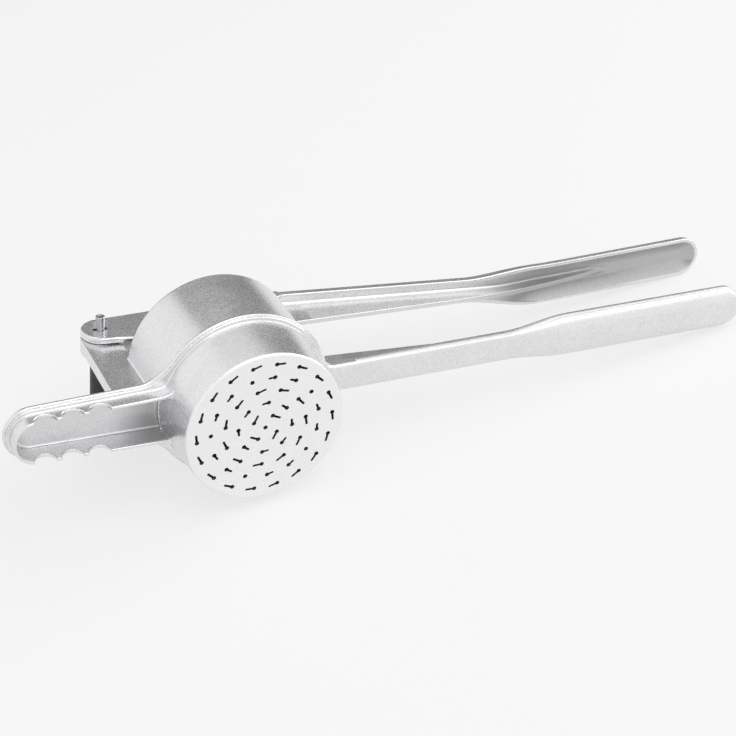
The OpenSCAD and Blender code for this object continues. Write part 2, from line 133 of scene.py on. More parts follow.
# The axes of the hinge and of the cross pin, along the handles and along the pot, and their eyes
HINGE, EYE = (-51.8, 105.5), 10.4
CROSS, CROSS_EYE = (-7.37, 68.218), 6.3
# The pin's radius
PIN = 2.5
# The fork: half its room, half its width, its outer face, and its ribs' front edge at FORK_END
CHEEK, FORK_HALF, FORK_TOP, RIB_FRONT = 4.4, 7.4, 115.9, 90.1
FORK_END = 50.0
# Where the fields of both castings end and the lofted arms start
SEAM = 64.0
# The rest arm: its half width at the root, its taper's run, its bead, and its wall;
# its middle, half height and channel floor along the pot
REST_ROOT, REST_RUN, REST_BEAD, REST_WALL = 15, 110.6, 2.7, 1.8
REST_MIDDLE, REST_HALF, REST_FLOOR = 29.65, 7.85, 35.2
# The rest notches: the first one's place, the step to the next, and their place along the pot
NOTCH_FIRST, NOTCH_STEP, NOTCH_Y = 106.7, 13.9, 21.8
# The tool lies on the pot's ridge and the lever's tip, of these radii and so far apart
LIE_RIDGE, LIE_TIP, LIE_REACH = 47.4, 12.5, 303.0
LIE = math.asin((LIE_RIDGE - LIE_TIP) / LIE_REACH)
SHIFT = np.array([-94.2597, -57.95, LIE_RIDGE])
TURN = np.array([[math.cos(LIE), 0, math.sin(LIE)],
                 [0, 1, 0],
                 [-math.sin(LIE), 0, math.cos(LIE)]])
# The sieve's ground face in the frame, in metres
GROUND_FACE = -0.0571
# Shares of painted shade in the sieve's holes, on the plunger's plate behind them and in the pin's
# dimple
HOLE_PAINTED_SHADE, DISC_PAINTED_SHADE, DIMPLE_PAINTED_SHADE = 2.7, 2.1, 1.8


def to_frame(points):
    """Points in the tool's axes, in millimetres, to the frame, in metres"""
    return (np.asarray(points, float) @ TURN.T + SHIFT) / 1000


# ---- distances ----

def join(a, b, r=0.0):
    """Union with a fillet of radius r"""
    if not r:
        return np.minimum(a, b)
    return np.maximum(r, np.minimum(a, b)) - np.hypot(np.maximum(r - a, 0), np.maximum(r - b, 0))


def keep(a, b, r=0.0):
    """What lies in both, with its edges rounded to radius r"""
    if not r:
        return np.maximum(a, b)
    return np.minimum(-r, np.maximum(a, b)) + np.hypot(np.maximum(r + a, 0), np.maximum(r + b, 0))


def cut(a, b, r=0.0):
    """The first without the second, with the new edges rounded"""
    return keep(a, -b, r)


def outline(u, v, corners):
    """Distance to a closed outline, less than zero inside"""
    best, sign = None, None
    for (au, av), (bu, bv) in zip(corners, corners[-1:] + corners[:-1]):
        eu, ev, wu, wv = bu - au, bv - av, u - au, v - av
        t = np.clip((wu * eu + wv * ev) / np.maximum(eu * eu + ev * ev, 1e-9), 0, 1)
        d = (wu - eu * t) ** 2 + (wv - ev * t) ** 2
        over, under, left = v >= av, v < bv, eu * wv > ev * wu
        crossed = (over & under & left) | ~(over | under | left)
        flip = np.where(crossed, -1.0, 1.0).astype(np.float32)
        best = d if best is None else np.minimum(best, d)
        sign = flip if sign is None else sign * flip
    return sign * np.sqrt(best)


def near(shape, x, y, z, low, high):
    """A distance worked out only inside a box, and far away elsewhere"""
    if x.ndim == 3:
        pick = [np.flatnonzero((a.ravel() >= l) & (a.ravel() <= h))
                for a, l, h in zip((x, y, z), low, high)]
        far = np.full(np.broadcast(x, y, z).shape, 20, np.float32)
        if all(len(p) for p in pick):
            i, j, k = (slice(p[0], p[-1] + 1) for p in pick)
            far[i, j, k] = shape(x[i], y[:, j], z[:, :, k])
        return far
    inside = np.all([(a >= l) & (a <= h) for a, l, h in zip((x, y, z), low, high)], axis=0)
    far = np.full(x.shape, 20.0)
    far[inside] = shape(x[inside], y[inside], z[inside])
    return far


# ---- arms ----

def ease(x, start, end):
    t = np.clip((x - start) / (end - start), 0, 1)
    return t * t * (3 - 2 * t)


def mix(a, b, t):
    return a + (b - a) * t


def half_section(w, edge, crown, fullness, dish, inside, rib, arms):
    """Half of an arm's section: across the arm, and from its outer edge towards the rib"""
    soft = np.minimum(0.7, w * 0.3)
    inside = np.maximum(inside, 0.02)
    root = np.minimum(arms.rib + 0.5, inside * 0.6)
    top = np.minimum(arms.rib, inside * 0.45)
    hollow = lambda u: edge - dish * (1 - (u / inside) ** 2)
    rise = np.maximum(rib - hollow(root), 0)
    fillet, lift = np.minimum(1.3, (inside - root) * 0.5), np.minimum(1.3, rise * 0.5)
    corner, drop = np.minimum(0.5, top * 0.5), np.minimum(0.5, rise * 0.3)
    step = np.minimum(0.4, w * 0.1)
    points = [((w - step) * math.cos(a) ** fullness, -crown * math.sin(a) ** fullness)
              for a in np.radians(np.linspace(89.9, 2, 17))]
    points += [(w - step, 0 * w - 0.02), (w - 0.15 * step, 0 * w), (w, 0 * w + 0.12)]
    points += [(w - soft + soft * math.cos(a), edge - soft + soft * math.sin(a))
               for a in np.radians(np.linspace(0, 90, 6))]
    points += [(inside + np.minimum(0.35, (w - soft - inside) * 0.5), edge + 0 * w)]
    for part in (0.97, 0.9, 0.78, 0.62, 0.44, 0.24, 0.08):
        u = mix(root + fillet, inside, part)
        points.append((u, hollow(u)))
    base = hollow(root + fillet)
    points += [(root + fillet - fillet * math.sin(a), base + lift - lift * math.cos(a))
               for a in np.radians(np.linspace(0, 90, 6))]
    tip = np.maximum(rib, base + rise)
    points += [(top - corner + corner * math.cos(a), tip - drop + drop * math.sin(a))
               for a in np.radians(np.linspace(0, 90, 5))]
    return points + [(0 * w, tip)]


# The places along a half section between which an arm is hollow
HOLLOW_FROM, HOLLOW_TO = 28, 45


def whole_section(half):
    return half + [(-u, v) for u, v in half[-2::-1]]


def tip_width(x, end, r):
    """Share of the full width that is left at a round tip"""
    return np.sqrt(np.clip(1 - (np.maximum(x - (end - r), 0) / r) ** 2, 0, 1))


def handle_section(x, arms):
    """The handle's section at x, and the place of its outer edge along the pot"""
    t, d = ease(x, 154, 193), ease(x, 174, 210)
    k = tip_width(x, arms.handle_end, arms.grip)
    inner = tip_width(x, arms.handle_end - arms.lip, arms.grip - arms.lip)
    edge_y, full = mix(32.2, 34.2, t), mix(8.1, arms.grip, t)
    rib_y = 53.9 - (x - 42.5) * 17.5 / 167.5
    half = half_section(full * k, mix(4.2, 2.9, t), mix(1.8, 6.5, t) * np.sqrt(k), mix(0.7, 1, t),
                        mix(0.2, arms.dish, d) * inner ** 2,
                        (full - np.minimum(arms.lip, full * 0.3)) * inner,
                        rib_y - edge_y, arms)
    return whole_section(half), edge_y


def lever_inside(x):
    """Distance from the sieve's face to the inside of the lever's back plate"""
    a, b = mix(110.2, 87.4, (x - FORK_END) / 151), 87.4 + 0.04 * (x - 201)
    return (a + b) / 2 + np.sqrt(((a - b) / 2) ** 2 + 0.81)


def lever_section(x, arms):
    """The lever's section at x, and the place of its outer edge along the pot"""
    t, d = ease(x, 160, 202), ease(x, 174, 210)
    k = tip_width(x, arms.lever_end, arms.grip)
    inner = tip_width(x, arms.lever_end - arms.lip, arms.grip - arms.lip)
    edge, full = mix(2.0, 2.9, t), mix(FORK_HALF, arms.grip, t)
    edge_y = lever_inside(x) + edge
    rib_y = RIB_FRONT - 0.052 * (np.minimum(x, 165) - FORK_END)
    rib_y = rib_y + 0.0013 * np.maximum(0, x - 165) ** 2
    half = half_section(full * k, edge, mix(3.7, 6.5, t) * np.sqrt(k), mix(0.35, 1, t),
                        mix(0.2, arms.dish, d) * inner ** 2,
                        (full - np.minimum(arms.lip, full * 0.3)) * inner,
                        edge_y - rib_y, arms)
    return whole_section(half), edge_y


# ---- castings ----

def barrel(rho, y, pot):
    """Outside of the pot without its ridge"""
    front_y = pot.ridge_back - pot.ridge_width
    front = keep(rho - pot.base - pot.flare * (y - 1.5) / (front_y - 1.5), -y, pot.edge)
    length_behind = pot.depth - pot.ridge_back
    rear = rho - pot.rear - (pot.mouth - pot.rear) * (y - pot.ridge_back) / length_behind
    rear = keep(keep(rear, y - pot.depth, 0.8), pot.ridge_back - 1 - y)
    return join(keep(front, y - pot.ridge_back + 1), rear)


def rest_arm(x, y, z, rho, pot, arms):
    """The rest arm's body, its bead that runs into the ridge, its channel and its notches"""
    tip_x, slope = arms.rest_end - arms.rest_half, (REST_ROOT - arms.rest_half) / REST_RUN
    side = (np.abs(z) - arms.rest_half - slope * (x + tip_x)) * math.cos(math.atan(slope))
    plan = np.where(x < -tip_x, np.hypot(x + tip_x, z) - arms.rest_half, side)
    middle = pot.ridge_back - pot.ridge_width / 2
    wall = join(plan, rho - pot.base + 2, pot.root)
    body = keep(keep(wall, np.abs(y - REST_MIDDLE) - REST_HALF, 0.75), x)
    channel = keep(plan + REST_WALL, y - REST_FLOOR, 1.6)
    notches = channel + 99
    for i in range(arms.notches):
        notch = np.hypot(x + NOTCH_FIRST - NOTCH_STEP * i, y - NOTCH_Y) - arms.notch
        notches = join(notches, notch)
    rim = join(keep(plan - REST_BEAD, x), rho - pot.ridge, pot.web)
    front = keep(rim + pot.ridge_lip, np.abs(y - middle) - pot.ridge_width / 2,
                 pot.ridge_round / 2)
    back = keep(rim, np.abs(y - pot.ridge_back + pot.ridge_lip) - pot.ridge_lip, pot.ridge_round)
    return body, join(front, back), channel, notches


def bracket(x, y, z):
    """Hinge bracket, without its bore"""
    end, r, foot = (HINGE[0] - 1.7, HINGE[1] - 2.5), 9.6, 36.0
    plan = outline(x, y, [(end[0] - r, end[1]), (end[0] - r - 1.1, foot), (0, foot), (0, 74),
                          (-40.2, 74), (-40.2, end[1])])
    plan = join(plan, np.hypot(x - end[0], y - end[1]) - r)
    return keep(plan, np.abs(z) - 3.5, 0.8)


def keyed_bore(x, y, z):
    """The hinge bore with the slots that let the pin's lugs through"""
    radius, flare, reach, half = 2.56, 0.035, 3.95, 1.05
    bore = np.hypot(x - HINGE[0], y - HINGE[1]) - radius - flare * np.maximum(np.abs(z) - 3.5, 0)
    slots = keep(np.abs(x - HINGE[0]) - reach, np.abs(y - HINGE[1]) - half)
    return join(bore, slots, 0.2)


def pot_field(x, y, z):
    """The whole pot casting up to the handle's neck"""
    pot, arms, sieve = sizes("maker_pot"), sizes("maker_arms"), sizes("maker_sieve")
    rho = np.hypot(x, z)
    body, flange, channel, notches = rest_arm(x, y, z, rho, pot, arms)
    round_wall = barrel(rho, y, pot)
    shell = join(join(round_wall, flange, 0.6), body, 0.6)
    shell = cut(cut(shell, keep(channel, keep(x, 0.1 - round_wall), 0.9), 0.65), notches, 0.4)
    shell = join(shell, near(bracket, x, y, z, (-80, 20, -16), (10, 125, 16)), pot.fillet)

    def neck(x, y, z):
        corners, edge_y = handle_section(x, arms)
        return keep(outline(z, y - edge_y, corners), 36 - x)

    shell = join(shell, near(neck, x, y, z, (34, 14, -20), (80, 70, 20)), 4.5)
    deep = np.maximum(y - sieve.thick, 0)
    bore = rho - (pot.base - pot.wall) - pot.wall * deep / (pot.depth - sieve.thick)
    shell = cut(shell, bore, 0.6)
    return cut(shell, near(keyed_bore, x, y, z, (-62, 95, -9), (-42, 116, 9)), 0.3)


def fork_field(x, y, z):
    """The lever's fork up to its neck"""
    arms, side = sizes("maker_arms"), np.abs(z)
    room_top, room_end, room_side = 111.9, 44, 27.8
    eye = np.hypot(x - HINGE[0], y - HINGE[1]) - EYE
    plan = join(eye, np.hypot(x - CROSS[0], y - CROSS[1]) - CROSS_EYE)
    plan = join(plan, outline(x, y, cheek_corners()), 3)
    outer = keep(plan, side - FORK_HALF, 1.2)
    room = join(keep(y - room_top, x - room_end, 3), x + room_side, 2)
    fork = cut(outer, keep(room, side - CHEEK, 1.2), 0.5)
    fork = join(fork, keep(keep(eye, outer), 3.75 - side, 0.3))

    def neck(x, y, z):
        corners, edge_y = lever_section(x, arms)
        return keep(outline(z, edge_y - y, corners), 46 - x)

    fork = join(fork, near(neck, x, y, z, (40, 70, -16), (82, 125, 16)), 5)
    back = y - np.minimum(FORK_TOP, lever_inside(x) + 5.7)
    fork = keep(fork, keep(side - FORK_HALF, back, 1.2))
    fork = cut(fork, near(keyed_bore, x, y, z, (-62, 95, -9), (-42, 116, 9)), 0.3)
    return cut(fork, np.hypot(x - CROSS[0], y - CROSS[1]) - PIN, 0.3)


def tangent(p, c, r, side):
    """Point where the line from p touches a circle"""
    d = (c[0] - p[0], c[1] - p[1])
    a = math.atan2(-d[1], -d[0]) + side * math.acos(r / math.hypot(*d))
    return (c[0] + r * math.cos(a), c[1] + r * math.sin(a))


def cheek_corners():
    """Outline of the fork's cheeks, which touches both eyes"""
    left = (HINGE[0] + 26.1, HINGE[1] - 17.36)
    right = (mix(CROSS[0], FORK_END, 0.4), RIB_FRONT - 2)
    return [(HINGE[0], FORK_TOP), tangent(left, HINGE, EYE, -1), left,
            tangent(left, CROSS, CROSS_EYE, 1), CROSS, tangent(right, CROSS, CROSS_EYE, -1), right,
            (FORK_END, RIB_FRONT), (FORK_END, FORK_TOP)]


def plate_field(x, y, z):
    """Plunger's plate with the ring hollow in its back and the screw's countersunk hole"""
    radius, middle, half = 38.8, 6.35, 2.25
    ring_out, ring_in, ring_floor = 33.3, 13.2, 7.1
    hole, head, head_top = 2.5, 5.0, 5.9
    rho = np.hypot(x, z)
    plate = keep(rho - radius, np.abs(y - middle) - half, 1.0)
    ring = keep(keep(rho - ring_out, ring_in - rho, 0.8), ring_floor - y, 0.8)
    return cut(cut(cut(plate, ring, 0.6), rho - hole), keep(rho - head, y - head_top))


def stem_field(x, y, z):
    """Plunger's stem with the oblong slot that the cross pin runs in"""
    foot, hub_top, head, shoulder, top = 8.6, 23.6, 67.4, 70.87, 74.67
    half, left, right, corner, thick = 10, -14.645, 13.475, 3.8, 3.8
    slot_middle, slot_half, slot_radius = 0.585, 6.79, 3.47
    hub = keep(keep(np.hypot(x, z) - half + 2 * (y - foot) / 15, y - hub_top, 0.8), foot - y)
    blade = outline(x, y, [
        (-half, foot), (-half, hub_top), (left, head), (left, shoulder), (left + corner, top),
        (right - corner, top), (right, shoulder), (right, head), (half, hub_top), (half, foot)])
    stem = join(keep(blade, np.abs(z) - thick, 0.9), hub, 2.5)
    stem = keep(stem, foot - y)
    slot = np.hypot(np.maximum(np.abs(x + slot_middle) - slot_half, 0), y - head) - slot_radius
    return cut(stem, slot, 0.4)


def pin_field(x, y, z):
    """Hinge pin with its dimple and lugs"""
    middle, half = 6.325, 21.325
    lug_reach, lug_half, lug_z, lug_height = 3.7, 0.8, 10.2, 2.2
    dimple_z, dimple = 16.2, 2.0
    u, v = x - HINGE[0], y - HINGE[1]
    rho = np.hypot(u, v)
    pin = keep(rho - PIN, np.abs(z + middle) - half, 0.55)
    lugs = keep(np.abs(u) - lug_reach, np.abs(v) - lug_half, 0.2)
    lugs = keep(lugs, np.abs(z - lug_z) - lug_height, 0.3)
    return cut(join(pin, lugs, 0.25), np.hypot(rho, z - dimple_z) - dimple, 0.1)


def knob_field(x, y, z):
    """Knob on the pin's lower end"""
    radius, bottom, top, bore_end = 5.4, 36.65, 7.65, 27.65
    rho = np.hypot(x - HINGE[0], y - HINGE[1])
    knob = keep(keep(rho - radius, -bottom - z, 2.2), z + top, 0.9)
    return cut(knob, keep(rho - PIN, -bore_end - z), 0.2)


# ---- from distances to meshes ----

def slopes(field, points, step=0.04):
    """Distance and its gradient at each point"""
    here = field(*points.T)
    ahead = [field(*(points + step * axis).T) for axis in np.eye(3)]
    behind = [field(*(points - step * axis).T) for axis in np.eye(3)]
    return here, np.stack([(a - b) / (2 * step) for a, b in zip(ahead, behind)], 1)


def skin(field, low, high, step):
    """Points and faces on a field's surface"""
    axes = [np.arange(l, h + step, step, dtype=np.float32) for l, h in zip(low, high)]
    x, y, z = axes[0][:, None, None], axes[1][None, :, None], axes[2][None, None, :]
    values = np.ascontiguousarray(np.clip(field(x, y, z) / step, -3, 3), dtype=np.float32)
    grid = openvdb.FloatGrid(3.0)
    grid.copyFromArray(values)
    points, triangles, quads = grid.convertToPolygons(0.0, 0.003)
    points = points.astype(float) * step + np.array(low)
    for _ in range(3):
        here, slope = slopes(field, points)
        move = here[:, None] * slope / np.maximum((slope ** 2).sum(1), 0.2)[:, None]
        points -= np.clip(move, -step, step)
    faces = [list(map(int, f)) for f in triangles] + [list(map(int, f)) for f in quads]
    return points, faces


def solid(name, field, low, high, step, end=None, hollow=0.0):
    """An object skinned from a field, open at x = end where an arm carries on.

    hollow is the share of painted shade at its points, with more roughness on castings: one share,
    or a function of their places.
    """
    points, faces = skin(field, low, high, step)
    mesh = bpy.data.meshes.new(name)
    mesh.from_pydata(points.tolist(), [], faces)
    if end is not None:
        work = bmesh.new()
        work.from_mesh(mesh)
        bmesh.ops.bisect_plane(work, geom=work.verts[:] + work.edges[:] + work.faces[:], dist=1e-4,
                               plane_co=(end, 0, 0), plane_no=(1, 0, 0), clear_outer=True)
        work.to_mesh(mesh)
        work.free()
    points = np.empty(len(mesh.vertices) * 3)
    mesh.vertices.foreach_get("co", points)
    points = points.reshape(-1, 3)
    normals = slopes(field, points, 0.06)[1]
    normals /= np.maximum(np.linalg.norm(normals, axis=1), 1e-6)[:, None]
    face = mesh.polygons[len(mesh.polygons) // 2]
    if Vector(normals[face.vertices[0]]).dot(face.normal) < 0:
        mesh.flip_normals()
    mesh.vertices.foreach_set("co", to_frame(points).ravel())
    mesh.polygons.foreach_set("use_smooth", np.ones(len(mesh.polygons), bool))
    mesh.update()
    mesh.normals_split_custom_set_from_vertices(normals @ TURN.T)
    store_painted_shade(mesh, hollow(*points.T) if callable(hollow) else np.full(len(points), hollow))
    return link(name, mesh)


def store_painted_shade(mesh, shares):
    """Stores the share of painted shade, and on castings of added roughness, at each point"""
    mesh.attributes.new("hollow", "FLOAT", "POINT").data.foreach_set("value", shares)


def loft(name, section, start, end, grip, flip):
    """An arm skinned from its sections, open at its start"""
    bend = end - grip
    turns = [*range(0, 60, 6), *range(60, 90, 3), 89.5]
    stations = list(np.arange(start, bend, 3.0))
    stations += [bend + grip * math.sin(math.radians(a)) for a in turns]
    mesh = bmesh.new()
    hollow = mesh.verts.layers.float.new("hollow")
    rings = []
    for x in stations:
        corners, edge_y = section(np.float64(x))
        ring = [(x, edge_y - v, -u) if flip else (x, edge_y + v, u) for u, v in corners]
        rings.append([mesh.verts.new(p) for p in to_frame(np.array(ring, float))])
        for i, vert in enumerate(rings[-1]):
            inside = HOLLOW_FROM <= min(i, len(ring) - i) <= HOLLOW_TO
            # Painted shade in the grip's hollow, growing from x 150 to 200
            vert[hollow] = ease(x, 150, 200) * float(inside)
    count = len(rings[0])
    for a, b in zip(rings, rings[1:]):
        for i in range(count):
            j = (i + 1) % count
            mesh.faces.new((a[i], a[j], b[j], b[i]))
    mesh.faces.new(rings[-1])
    bmesh.ops.recalc_face_normals(mesh, faces=mesh.faces[:])
    if max(mesh.faces, key=lambda f: f.calc_center_median().x).normal.x < 0:
        bmesh.ops.reverse_faces(mesh, faces=mesh.faces[:])
    for face in mesh.faces:
        face.smooth = True
    data = bpy.data.meshes.new(name)
    mesh.to_mesh(data)
    mesh.free()
    return link(name, data)


def link(name, mesh):
    piece = bpy.data.objects.new(name, mesh)
    bpy.context.scene.collection.objects.link(piece)
    return piece


def finish(piece, body, slot, material, *nodes):
    """Gives a piece its finish and its body, and hides the imported nodes that it stands for"""
    piece.data.materials.clear()
    piece.data.materials.append(material)
    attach(piece, body)
    if nodes:
        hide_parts(*nodes)


# ---- node trees ----

class Link:
    """A node's output, so that sums on outputs add Math nodes"""

    def __init__(self, tree, socket):
        self.tree, self.socket = tree, socket

    def maths(self, operation, *others):
        return self.tree.node("ShaderNodeMath", {"operation": operation}, [self, *others])

    def __add__(self, other): return self.maths("ADD", other)
    def __sub__(self, other): return self.maths("SUBTRACT", other)
    def __mul__(self, other): return self.maths("MULTIPLY", other)
    def __truediv__(self, other): return self.maths("DIVIDE", other)
    def __mod__(self, other): return self.maths("MODULO", other)
    def __lt__(self, other): return self.maths("LESS_THAN", other)
    def __gt__(self, other): return self.maths("GREATER_THAN", other)
    __radd__, __rmul__ = __add__, __mul__

    def __rsub__(self, other):
        return self.tree.node("ShaderNodeMath", {"operation": "SUBTRACT"}, [other, self])

    def clamp(self):
        """Limits the output to the range from 0 to 1"""
        settings = {"operation": "ADD", "use_clamp": True}
        return self.tree.node("ShaderNodeMath", settings, [self, 0.0])


def cosine(angle):
    return angle.maths("COSINE")


def sine(angle):
    return angle.maths("SINE")


class Tree:
    """Builds a shader or geometry tree"""

    def __init__(self, tree):
        self.tree = tree

    def node(self, kind, settings=None, values=None, out=0):
        """Adds a node: settings first, then its sockets' values or links by name or place"""
        made = self.tree.nodes.new(kind)
        for key, value in (settings or {}).items():
            setattr(made, key, value)
        pairs = values.items() if isinstance(values, dict) else enumerate(values or [])
        for key, value in pairs:
            socket = made.inputs[key]
            for one in value if isinstance(value, list) else [value]:
                if isinstance(one, Link):
                    self.tree.links.new(one.socket, socket)
                elif one is not None:
                    socket.default_value = one
        return Link(self, made.outputs[out]) if made.outputs else made


def new_material(name):
    material = bpy.data.materials.new(name)
    material.use_nodes = True
    material.node_tree.nodes.clear()
    return material, Tree(material.node_tree)


def noise(tree, place, scale, detail=2.0, rough=0.5):
    return tree.node("ShaderNodeTexNoise", {}, {
        "Vector": place, "Scale": scale, "Detail": detail, "Roughness": rough})


def surface(tree, base, rough, metal, normal):
    shader = tree.node("ShaderNodeBsdfPrincipled", {}, {
        "Base Color": base, "Roughness": rough, "Metallic": metal, "Normal": normal})
    tree.node("ShaderNodeOutputMaterial", {}, {"Surface": shader})


def blend(tree, share, first, second):
    """Mixes two colours or colour outputs by a share"""
    return tree.node("ShaderNodeMix", {"data_type": "RGBA"},
                     {"Factor": share, 6: first, 7: second}, 2)


def tint(tree, share, dark, light):
    """A colour between two, by a share"""
    return blend(tree, share, (*dark, 1), (*light, 1))


def painted_shade(tree):
    """The share of painted shade at a place, and a function that paints that shade into a colour"""
    share = tree.node("ShaderNodeAttribute", {"attribute_name": "hollow"}, out=2)
    return share, lambda base: blend(tree, (share * 0.36).clamp(), base, (0.02, 0.02, 0.02, 1))


def cast_metal():
    """Tumbled cast aluminium: fine grain, faint clouds, painted shade and more roughness in the
    hollows, a paler ground face
    """
    colours = bpy.context.scene.maker_colours
    material, tree = new_material("tumbled_casting")
    place = tree.node("ShaderNodeTexCoord", out=3)
    grain = noise(tree, place, 1150.0, 2.0, 0.7)
    pits = noise(tree, place, 480.0, 3.0, 0.6)
    clouds = noise(tree, place, 48.0, 3.0, 0.6)
    # hollow is the share of painted shade, which also adds roughness; shade paints it into a colour
    hollow, shade = painted_shade(tree)
    light = tuple(min(1.0, c * 1.07) for c in colours.cast)
    dark = tuple(c * 0.86 for c in colours.cast)
    share = (0.5 + (clouds - 0.5) * 0.6 + (grain - 0.5) * 1.5 + (pits - 0.5) * 0.9).clamp()
    base = tint(tree, share, dark, light)
    rough = (0.28 + (clouds - 0.5) * 0.16 + (grain - 0.5) * 0.3 + hollow * 0.1).clamp()
    height = grain * 0.6 + pits
    bump = tree.node("ShaderNodeBump", {}, {"Strength": 0.3, "Distance": 0.0001, "Height": height})
    along = tree.node("ShaderNodeSeparateXYZ", {}, [place], 1)
    face = ((GROUND_FACE - along) * 2000.0).clamp()
    ground = blend(tree, face * 0.7, base, (0.98, 0.98, 0.98, 1))
    surface(tree, shade(ground), rough, 0.92, bump)
    return material


def pin_steel():
    """Turned steel with fine rings round the pin, and painted shade in its dimple"""
    colours = bpy.context.scene.maker_colours
    material, tree = new_material("turned_steel")
    place = tree.node("ShaderNodeTexCoord", out=3)
    along = tree.node("ShaderNodeMapping", {}, {
        "Vector": place, "Rotation": (0, -LIE, 0), "Scale": (1, 1, 9)})
    rings = noise(tree, along, 700.0, 2.0)
    stains = noise(tree, place, 160.0, 3.0)
    base = tint(tree, (stains * 1.2 - 0.1).clamp(), tuple(c * 0.82 for c in colours.steel),
                tuple(colours.steel))
    bump = tree.node("ShaderNodeBump", {}, {"Strength": 0.15, "Distance": 0.0001, "Height": rings})
    surface(tree, painted_shade(tree)[1](base), (0.16 + stains * 0.14).clamp(), 1.0, bump)
    return material


def knob_plastic():
    """Black moulded plastic with a fine matt grain"""
    colours = bpy.context.scene.maker_colours
    material, tree = new_material("moulded_knob")
    place = tree.node("ShaderNodeTexCoord", out=3)
    grain = noise(tree, place, 1300.0, 2.0)
    clouds = noise(tree, place, 90.0, 2.0)
    base = tint(tree, clouds, tuple(c * 0.8 for c in colours.plastic),
                tuple(c * 1.3 for c in colours.plastic))
    bump = tree.node("ShaderNodeBump", {}, {"Strength": 0.3, "Distance": 0.0002, "Height": grain})
    surface(tree, base, (0.42 + grain * 0.14).clamp(), 0.0, bump)
    return material


def material(name, make):
    return bpy.data.materials.get(name) or make()


# ---- sieve ----

# Each ring of the sieve: its number of holes, the first one's angle, which way its slots run,
# their reach (0 long, 1 short) and their lean in degrees
RINGS = ((4, -150.0, 1, 0, 4.5), (8, -85.5, -1, 1, 12.0), (11, -103.7, 1, 0, 4.5),
         (15, -82.5, -1, 1, 12.0), (18, -83.0, 1, 0, 4.5))


def keyhole(tree, head, slot, reach):
    """Outline of a keyhole in its own plane, with its slot along Y"""
    radius, half = head / 2, slot / 2
    lift = tree.node("ShaderNodeMath", {"operation": "SQRT"}, [radius * radius - half * half])
    bend = tree.node("ShaderNodeMath", {"operation": "ARCTAN2"}, [lift, half])
    index = tree.node("GeometryNodeInputIndex")
    angle = math.pi - bend + (index / 15.0).clamp() * (math.pi + bend * 2.0)
    end_angle = (index - 16.0) / 7.0 * math.pi
    on_head, on_end = index < 15.5, index > 15.5
    u = on_head * cosine(angle) * radius + on_end * cosine(end_angle) * half
    v = on_head * sine(angle) * radius + on_end * (sine(end_angle) * half + reach - half)
    place = tree.node("ShaderNodeCombineXYZ", {}, [u, v, 0.0])
    points = tree.node("GeometryNodePoints", {}, {"Count": 24, "Position": place})
    curve = tree.node("GeometryNodePointsToCurves", {}, {"Points": points})
    return tree.node("GeometryNodeSetSplineCyclic", {}, {"Geometry": curve, "Cyclic": True})


def ring_points(tree, ring, pitch, plain):
    """Points of one ring of holes, each with the turn of its keyhole"""
    count, first, turn, reach, lean = RINGS[ring]
    index = tree.node("GeometryNodeInputIndex")
    angle = math.radians(first) + index * (2 * math.pi / count)
    radius = pitch * (ring + 1.0)
    place = tree.node("ShaderNodeCombineXYZ", {},
                      [cosine(angle) * radius, sine(angle) * radius, 0.0])
    points = tree.node("GeometryNodePoints", {}, {"Count": count, "Position": place})
    spun = tree.node("GeometryNodeStoreNamedAttribute", {"data_type": "FLOAT", "domain": "POINT"}, {
        "Geometry": points, "Name": "spin",
        "Value": angle + ((0.0 if turn > 0 else math.pi) - math.radians(lean))})
    is_plain = (index % 3.0 > 1.5) if ring == 3 else (index < -1.0)
    return tree.node("GeometryNodeDeleteGeometry", {"domain": "POINT"}, {
        "Geometry": spun, "Selection": 1 - is_plain if plain else is_plain})


